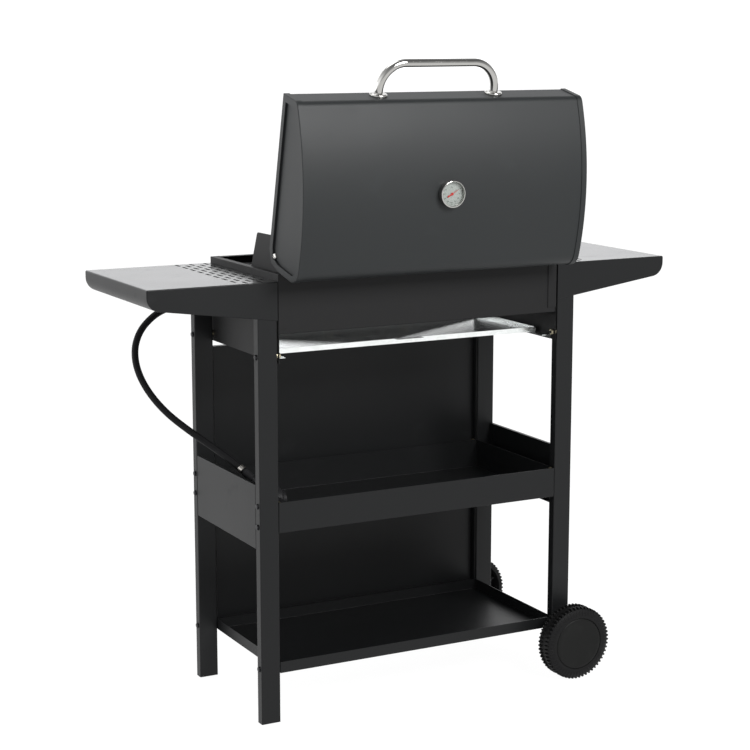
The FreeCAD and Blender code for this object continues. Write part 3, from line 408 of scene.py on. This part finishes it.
class GrillSizes(bpy.types.PropertyGroup):
    hose_diameter: length_setting("Hose diameter", "Outside of the gas hose", 14 * MM)
    hose_length: length_setting("Hose length", "From the inlet nut to the regulator", 0.4828)
    tread_teeth: bpy.props.IntProperty(name="Tread teeth", description="Teeth round each row of a wheel",
                                       default=56)
    tread_height: length_setting("Tooth height", "Height of the tread's teeth", 4.2 * MM)


class GrillStudio(bpy.types.PropertyGroup):
    focal_length: bpy.props.FloatProperty(name="Focal length", default=90.49,
                                          description="Camera lens on a 36 mm sensor, in mm")
    azimuth: angle_setting("Camera azimuth", "From the rear towards the hose side", 27.80)
    elevation: angle_setting("Camera elevation", "Downward tilt of the camera", 10.372)
    camera: bpy.props.FloatVectorProperty(name="Camera place", description="Where the camera stands",
                                          subtype="TRANSLATION", size=3,
                                          default=(1.79178, 3.36325, 1.33553))


# Operators


class GRILL_OT_stage(bpy.types.Operator):
    """Sets up the camera, the pale floor and the soft lights"""

    bl_idname = "grill.stage"
    bl_label = "Studio"

    def execute(self, context):
        studio = context.scene.grill_studio
        lens_data = bpy.data.cameras.new("camera")
        lens_data.sensor_width = 36.0
        lens_data.lens = studio.focal_length
        lens_data.clip_end = 200.0
        camera = bpy.data.objects.new("camera", lens_data)
        context.scene.collection.objects.link(camera)
        level = math.cos(studio.elevation)
        back = Vector((math.sin(studio.azimuth) * level, math.cos(studio.azimuth) * level,
                       math.sin(studio.elevation)))
        camera.matrix_world = self.aimed(studio.camera, back)
        context.scene.camera = camera
        self.add_floor(context)
        self.add_lights(context)
        self.add_sky(context)
        return {"FINISHED"}

    def aimed(self, place, back):
        """The frame of a camera or light at a place, with its back turned to the given way."""
        return Matrix.Translation(place) @ back.to_track_quat("Z", "Y").to_matrix().to_4x4()

    def add_floor(self, context):
        mesh_edit = bmesh.new()
        bmesh.ops.create_circle(mesh_edit, cap_ends=True, radius=60.0, segments=64)
        mesh = bpy.data.meshes.new("floor")
        mesh_edit.to_mesh(mesh)
        mesh_edit.free()
        floor = bpy.data.objects.new("floor", mesh)
        finish = Finish("floor_paper", Specular_IOR_Level=0.1, Emission_Color=(1.0, 1.0, 1.0, 1.0),
                        Emission_Strength=0.96)
        paper = (0.09, 0.09, 0.09)
        tone = finish.noise(1.5, 2.0)
        finish.set(Base_Color=finish.mix(tone, shade(paper, 0.95), rgba(paper)),
                   Roughness=tone * 0.1 + 0.8)
        mesh.materials.append(finish.material)
        context.scene.collection.objects.link(floor)

    def add_lights(self, context):
        target = Vector((0.0, 0.0, 0.75))
        lights = (
            ("softbox", (-0.75, 3.2, 2.7), 1.4, 140.0),
            ("overhead", (0.5, -0.9, 3.9), 1.5, 28.0),
            ("side", (4.2, -2.0, 1.2), 2.4, 36.0),
        )
        for name, place, size, power in lights:
            data = bpy.data.lights.new(name, "AREA")
            data.shape = "SQUARE"
            data.size = size
            data.energy = power
            light = bpy.data.objects.new(name, data)
            light.matrix_world = self.aimed(place, Vector(place) - target)
            context.scene.collection.objects.link(light)

    def add_sky(self, context):
        """A white room, dimmer behind the camera and overhead."""
        world = bpy.data.worlds.new("studio")
        world.use_nodes = True
        context.scene.world = world
        sky = Finish("studio", world.node_tree)
        direction = sky.node("ShaderNodeTexCoord")["Generated"]
        way = sky.node("ShaderNodeSeparateXYZ", None, {"Vector": direction})
        rear = sky.ramp(way["Y"] * 0.85 - way["X"] * 0.5, -0.35, 0.6)
        zenith = sky.ramp(way["Z"], 0.2, 0.75)
        background = world.node_tree.nodes["Background"]
        background.inputs["Color"].default_value = (0.985, 0.99, 1.0, 1.0)
        sky.feed(background.inputs["Strength"], (1.8 - rear * 1.3) * (1.0 - zenith * 0.65))
        context.scene.view_settings.view_transform = "Standard"


class GRILL_OT_hose(bpy.types.Operator):
    """Makes the gas hose between the manifold's inlet and the regulator"""

    bl_idname = "grill.hose"
    bl_label = "Gas hose"

    def execute(self, context):
        sizes = context.scene.grill_sizes
        curve = bpy.data.curves.new("hose", "CURVE")
        curve.dimensions = "3D"
        curve.resolution_u = 12
        curve.bevel_depth = sizes.hose_diameter / 2
        curve.bevel_resolution = 8
        curve.use_fill_caps = True
        spline = curve.splines.new("NURBS")
        spline.points.add(len(HOSE_ROUTE) - 1)
        for point, place in zip(spline.points, HOSE_ROUTE):
            point.co = (*place, 1.0)
        spline.order_u = 3
        spline.use_endpoint_u = True
        curve.materials.append(moulded("hose_rubber", (0.005, 0.005, 0.0055), 0.56, 0.0016, 0.00003))
        hose = bpy.data.objects.new("hose", curve)
        context.scene.collection.objects.link(hose)
        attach(hose, "cart")
        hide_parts("gas_hose")
        return {"FINISHED"}


class GRILL_OT_finishes(bpy.types.Operator):
    """Paints every piece that keeps its shape from the CAD model"""

    bl_idname = "grill.finishes"
    bl_label = "Finishes"

    def execute(self, context):
        colours = context.scene.grill_colours
        table_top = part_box("side_table_right")[1][2]
        coat = powder_coat("cart_powder_coat", colours.cart, 0.42)
        lid = powder_coat("lid_enamel", colours.lid, 0.50, 0.004, 0.00005, 0.15, gloss=0.36)
        firebox = powder_coat("firebox_paint", colours.firebox, 0.55, 0.002, 0.00005)
        steel = polished("polished_steel", colours.steel)
        # Painted shade: the handle, rosettes and thermometer case get a copy of the polished steel at 0.6 of
        # its colour, darker to stand in for the darker surroundings they reflect.
        shaded_steel = polished("steel_with_painted_shade", shade(colours.steel, 0.60), 0.03)
        zinc = galvanised("galvanised_sheet", colours.zinc)
        plate = plated("zinc_plate", (0.62, 0.56, 0.40))
        stainless = brushed("stainless_steel", (0.58, 0.57, 0.55))
        plastic = moulded("moulded_plastic", (0.012, 0.012, 0.0125), 0.52)
        brass = plated("turned_brass", (0.72, 0.52, 0.22), 0.25)
        iron = cast_iron("grate_enamel", (0.016, 0.016, 0.017))
        groups = (
            (coat, ("upper_legs", "lower_legs", "bottom_shelf", "middle_shelf", "side_plates", "front_panel",
                    "control_panel")),
            (powder_coat("shelf_powder_coat", colours.cart, 0.40, glazed_above=table_top - 0.8 * MM),
             ("side_table_right", "side_table_left")),
            (lid, ("lid_skin", "lid_end_right", "lid_end_left")),
            (firebox, ("firebox_end_right", "firebox_end_left", "firebox_rear_wall", "firebox_front_wall",
                       "hinge_plates")),
            (shaded_steel, ("lid_handle", "handle_rosettes", "thermometer_case")),
            (steel, ("hinge_bolts",)),
            (zinc, ("grease_tray", "tray_rails", "firebox_rails", "gas_manifold", "axle")),
            (plate, ("frame_nuts", "spacer_washers", "lid_fasteners", "axle_clips")),
            (plated("black_oxide", (0.03, 0.03, 0.032), 0.35), ("frame_bolts",)),
            (stainless, ("burners", "flame_tamers", "hose_clamp", "valve_stem_1", "valve_stem_2",
                         "valve_stem_3")),
            (plastic, ("foot_plugs", "igniter_housing")),
            (brass, ("gas_valves", "hose_inlet_nut", "valve_plug_1", "valve_plug_2", "valve_plug_3")),
            (iron, ("cooking_grate_right", "cooking_grate_left")),
            # Painted shade: the regulator is near black so that it reads as the shade inside the middle shelf
            # where it sits.
            (moulded("regulator_painted_shade", (0.012, 0.012, 0.013), 0.45), ("gas_regulator",)),
            (glazed("electrode_ceramic", (0.86, 0.85, 0.82)), ("igniter_electrodes",)),
            (moulded("button_plastic", (0.02, 0.02, 0.021), 0.3), ("igniter_button",)),
            (printed("needle_paint", (0.55, 0.02, 0.015), 0.3), ("thermometer_needle",)),
            (lens("clear_glass"), ("thermometer_glass",)),
        )
        for finish, nodes in groups:
            for node in nodes:
                paint(node, finish)
        return {"FINISHED"}


class GRILL_OT_wheels(bpy.types.Operator):
    """Makes the two toothed wheels and their hub discs"""

    bl_idname = "grill.wheels"
    bl_label = "Wheels"

    def execute(self, context):
        sizes = context.scene.grill_sizes
        tyre = moulded("tyre_plastic", (0.006, 0.006, 0.0062), 0.56, 0.0012, 0.00005)
        disc = moulded("hub_plastic", (0.006, 0.0062, 0.006), 0.50, 0.0008, 0.00003)
        for end, side in (("rear", 1), ("front", -1)):
            low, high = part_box("wheel_" + end)
            centre = Vector(((low[0] + high[0]) / 2, 0.0, (low[2] + high[2]) / 2))
            radius = (high[2] - low[2]) / 2
            cap_low, cap_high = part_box("hub_cap_" + end)
            disc_radius = (cap_high[2] - cap_low[2]) / 2
            outer = max(abs(low[1]), abs(high[1])) + 1.0 * MM
            place = facing(centre, (0, side, 0), (side, 0, 0))
            self.make_tyre(end, place, radius, disc_radius, outer, sizes, tyre)
            self.make_disc(end, place, disc_radius, outer, disc)
        return {"FINISHED"}

    def make_tyre(self, end, place, radius, disc, outer, sizes, finish):
        """The drum with two rows of teeth and a plain band between, its ribbed shoulder and its web."""
        drum = radius - sizes.tread_height
        tyre_width = 42 * MM
        hub_length = 60 * MM
        bore = 5.1 * MM
        web = outer - 14 * MM
        inner = outer - tyre_width
        hub = outer - hub_length
        rows = ((inner + 3 * MM, inner + 12 * MM), (inner + 25 * MM, inner + 36.5 * MM))
        outline = [(drum - 8 * MM, inner), (drum - 1.5 * MM, inner), (drum, inner + 1.5 * MM)]
        outline += [(drum, height) for row in rows for height in row]
        outline += [(drum - 1.5 * MM, outer - 4.6 * MM), (drum - 6 * MM, outer - 2.4 * MM),
                    (drum - 12 * MM, outer - 1.2 * MM), (disc + 2.6 * MM, outer - 1.1 * MM),
                    (disc + 1.0 * MM, outer - 1.6 * MM), (disc + 0.3 * MM, outer - 2.8 * MM),
                    (disc + 0.3 * MM, outer - 4.2 * MM), (9 * MM, outer - 4.2 * MM),
                    (9 * MM, outer - 10 * MM), (bore, outer - 10 * MM), (bore, hub), (14 * MM, hub),
                    (15 * MM, hub + 1 * MM),
                    (18 * MM, web - 2 * MM), (22 * MM, web), (drum - 12 * MM, web)]
        mesh_edit = bmesh.new()
        steps = 2 * sizes.tread_teeth
        lathe(mesh_edit, outline, steps)
        bmesh.ops.recalc_face_normals(mesh_edit, faces=mesh_edit.faces)
        teeth = []
        ribs = []
        for face in mesh_edit.faces:
            middle = face.calc_center_median()
            reach = math.hypot(middle.x, middle.y)
            step = int((math.atan2(middle.y, middle.x) % FULL_TURN) / (FULL_TURN / steps))
            in_row = [low - FACE_TOLERANCE < middle.z < high + FACE_TOLERANCE and reach > drum - 1 * MM
                      for low, high in rows]
            if in_row[0] and step % 2 == 0 or in_row[1] and step % 2 == 1:
                teeth.append(face)
            shoulder = drum - 12 * MM < reach < drum - 0.6 * MM and middle.z > outer - 6 * MM
            if shoulder and step % 2 == 1:
                ribs.append(face)
        for taper, share in ((0.3 * MM, 0.7), (0.75 * MM, 0.27)):
            bmesh.ops.inset_individual(mesh_edit, faces=teeth, thickness=taper,
                                       depth=sizes.tread_height * share)
        bmesh.ops.inset_region(mesh_edit, faces=ribs, thickness=0.8 * MM, depth=0.7 * MM)
        spokes = 8
        for spoke in range(spokes):
            turn = (spoke + 0.5) * FULL_TURN / spokes
            slab(mesh_edit, (44 * MM, 2.4 * MM, 20 * MM), (38 * MM, 0, outer - 23.8 * MM), turn,
                 bevel=0.4 * MM)
        bmesh.ops.transform(mesh_edit, matrix=place, verts=mesh_edit.verts)
        make_piece("tyre_" + end, mesh_edit, [finish], end + "_wheel", ("wheel_" + end,))

    def make_disc(self, end, place, radius, outer, finish):
        """The hub disc: a shallow dish inside a raised ring."""
        back = outer - 3.9 * MM
        face = outer - 0.6 * MM
        outline = [(0.0, back), (radius - 0.1 * MM, back), (radius - 0.1 * MM, face - 2.0 * MM),
                   (radius - 1.2 * MM, face - 0.9 * MM), (radius - 3.5 * MM, face - 0.3 * MM),
                   (radius - 6.5 * MM, face - 0.1 * MM), (radius - 10 * MM, face - 0.5 * MM),
                   (36 * MM, face - 0.9 * MM), (24 * MM, face - 1.3 * MM), (11 * MM, face - 1.5 * MM),
                   (4 * MM, face - 1.4 * MM), (0.0, face - 1.4 * MM)]
        mesh_edit = bmesh.new()
        lathe(mesh_edit, outline, 96, closed=False)
        bmesh.ops.transform(mesh_edit, matrix=place, verts=mesh_edit.verts)
        make_piece("hub_disc_" + end, mesh_edit, [finish], end + "_wheel",
                   ("hub_cap_" + end,))


class GRILL_OT_knobs(bpy.types.Operator):
    """Makes the control knobs and the marked rings behind them"""

    bl_idname = "grill.knobs"
    bl_label = "Knobs"

    def execute(self, context):
        black = moulded("knob_plastic", (0.014, 0.014, 0.015), 0.32, 0.0007, 0.00002)
        white = printed("marking_ink", (0.80, 0.80, 0.78))
        ring = polished("bezel_steel", context.scene.grill_colours.steel, 0.16)
        for number in "123":
            joint = JOINTS["valve_turn_" + number]
            place = facing(joint["pos_m"], joint["axis"])
            self.make_knob(number, place, black, white)
            self.make_bezel(number, place, ring, black)
        return {"FINISHED"}

    def make_knob(self, number, place, black, white):
        """A round skirt with a tapered finger grip across it and an inlaid pointer."""
        mesh_edit = bmesh.new()
        stem_hole = 4.3 * MM
        hole_end = 18.3 * MM
        lathe(mesh_edit, [(stem_hole, 6.0 * MM), (19.0 * MM, 6.0 * MM), (19.8 * MM, 6.8 * MM),
                          (19.8 * MM, 9.5 * MM), (18.8 * MM, 12.0 * MM), (16.8 * MM, 13.6 * MM),
                          (15.6 * MM, 14.4 * MM), (15.0 * MM, 27.0 * MM), (14.0 * MM, 28.6 * MM),
                          (12.0 * MM, 29.2 * MM), (0.0, 29.5 * MM), (0.0, hole_end),
                          (stem_hole, hole_end)], 72)
        slab(mesh_edit, (9 * MM, 36 * MM, 16.5 * MM), (0, 0, 21.6 * MM), bevel=1.6 * MM)
        slab(mesh_edit, (1.4 * MM, 11 * MM, 0.5 * MM), (0, 11.0 * MM, 29.75 * MM), material=1, bevel=0.1 * MM)
        bmesh.ops.transform(mesh_edit, matrix=place, verts=mesh_edit.verts)
        make_piece("knob_cap_" + number, mesh_edit, [black, white], "stem_" + number,
                   ("knob_" + number,))

    def make_bezel(self, number, place, ring, black):
        """A pressed ring round the knob with raised marks over its half turn."""
        mesh_edit = bmesh.new()
        inside = 21.4 * MM
        outside = 26.5 * MM
        lathe(mesh_edit, [(inside, 0.1 * MM), (outside, 0.1 * MM), (outside, 0.9 * MM), (25.6 * MM, 1.7 * MM),
                          (22.4 * MM, 1.9 * MM), (inside, 1.2 * MM)], 96)
        for degrees in range(0, 181, 30):
            turn = math.radians(degrees)
            slab(mesh_edit, (0.9 * MM, 2.2 * MM, 0.4 * MM), (0, 24 * MM, 1.95 * MM), turn, material=1)
        bmesh.ops.transform(mesh_edit, matrix=place, verts=mesh_edit.verts)
        make_piece("knob_ring_" + number, mesh_edit, [ring, black], "cart")


class GRILL_OT_thermometer(bpy.types.Operator):
    """Makes the thermometer's printed dial"""

    bl_idname = "grill.thermometer"
    bl_label = "Thermometer dial"

    half_sweep = 120

    def execute(self, context):
        joint = JOINTS["needle_turn"]
        place = facing(joint["pos_m"], joint["axis"])
        enamel = printed("dial_enamel", (0.38, 0.41, 0.385), 0.4)
        ink = printed("dial_ink", (0.03, 0.035, 0.035))
        top = 6.0 * MM
        mesh_edit = bmesh.new()
        bore = 1.0 * MM
        rim = 23.4 * MM
        lathe(mesh_edit, [(bore, top - 1.0 * MM), (rim, top - 1.0 * MM), (rim, top), (bore, top)], 96)
        self.add_scale(mesh_edit, top)
        self.add_numbers(context, mesh_edit, top)
        bmesh.ops.transform(mesh_edit, matrix=place, verts=mesh_edit.verts)
        make_piece("dial_face", mesh_edit, [enamel, ink], "lid", ("thermometer_dial",))
        return {"FINISHED"}

    def add_scale(self, mesh_edit, top):
        """Long and short marks from lower left, clockwise, to lower right."""
        marks = 41
        height = 0.08 * MM
        for mark in range(marks):
            turn = math.radians(self.half_sweep - 2 * self.half_sweep * mark / (marks - 1))
            length = 2.6 * MM if mark % 5 == 0 else 1.4 * MM
            width = 0.5 * MM if mark % 5 == 0 else 0.25 * MM
            slab(mesh_edit, (width, length, height), (0, 21.6 * MM - length / 2, top + height / 2), turn,
                 material=1)

    def add_numbers(self, context, mesh_edit, top):
        """0 to 400 in steps of 50, with the unit below the middle."""
        for step in range(9):
            turn = math.radians(self.half_sweep - 30 * step)
            spot = Matrix.Rotation(turn, 4, "Z") @ Vector((0, 16.4 * MM, top))
            self.add_text(context, mesh_edit, str(50 * step), spot, 3.4 * MM)
        self.add_text(context, mesh_edit, "°C", Vector((0, -13.0 * MM, top)), 4.2 * MM)

    def add_text(self, context, mesh_edit, words, spot, size):
        """Raised figures, made a mesh and added in the second material."""
        text = bpy.data.curves.new("number", "FONT")
        text.body = words
        text.size = size
        text.extrude = 0.03 * MM
        text.resolution_u = 3
        text.align_x = "CENTER"
        text.align_y = "CENTER"
        holder = bpy.data.objects.new("number", text)
        context.scene.collection.objects.link(holder)
        mesh = bpy.data.meshes.new_from_object(holder.evaluated_get(context.evaluated_depsgraph_get()))
        mesh.transform(Matrix.Translation(spot))
        before = set(mesh_edit.faces)
        mesh_edit.from_mesh(mesh)
        for face in mesh_edit.faces:
            if face not in before:
                face.material_index = 1
        bpy.data.objects.remove(holder)
        bpy.data.curves.remove(text)
        bpy.data.meshes.remove(mesh)


class GRILL_PT_panel(bpy.types.Panel):
    """Lists the steps that finish the grill"""

    bl_idname = "GRILL_PT_panel"
    bl_label = "Gas barbecue grill"
    bl_space_type = "VIEW_3D"
    bl_region_type = "UI"
    bl_category = "Grill"

    def draw(self, context):
        for operator in OPERATORS:
            self.layout.operator(operator.bl_idname)
        for group in (context.scene.grill_colours, context.scene.grill_sizes, context.scene.grill_studio):
            for name in group.__annotations__:
                self.layout.prop(group, name)


OPERATORS = (GRILL_OT_stage, GRILL_OT_hose, GRILL_OT_finishes, GRILL_OT_wheels, GRILL_OT_knobs,
             GRILL_OT_thermometer)
GROUPS = {"grill_colours": GrillColours, "grill_sizes": GrillSizes, "grill_studio": GrillStudio}


def register():
    for cls in (*GROUPS.values(), *OPERATORS, GRILL_PT_panel):
        bpy.utils.register_class(cls)
    for name, group in GROUPS.items():
        setattr(bpy.types.Scene, name, bpy.props.PointerProperty(type=group))


def unregister():
    for name in GROUPS:
        delattr(bpy.types.Scene, name)
    for cls in (GRILL_PT_panel, *reversed(OPERATORS), *reversed(list(GROUPS.values()))):
        bpy.utils.unregister_class(cls)


def main():
    register()
    for operator in OPERATORS:
        group, name = operator.bl_idname.split(".")
        getattr(getattr(bpy.ops, group), name)()


if __name__ == "__main__":
    main()
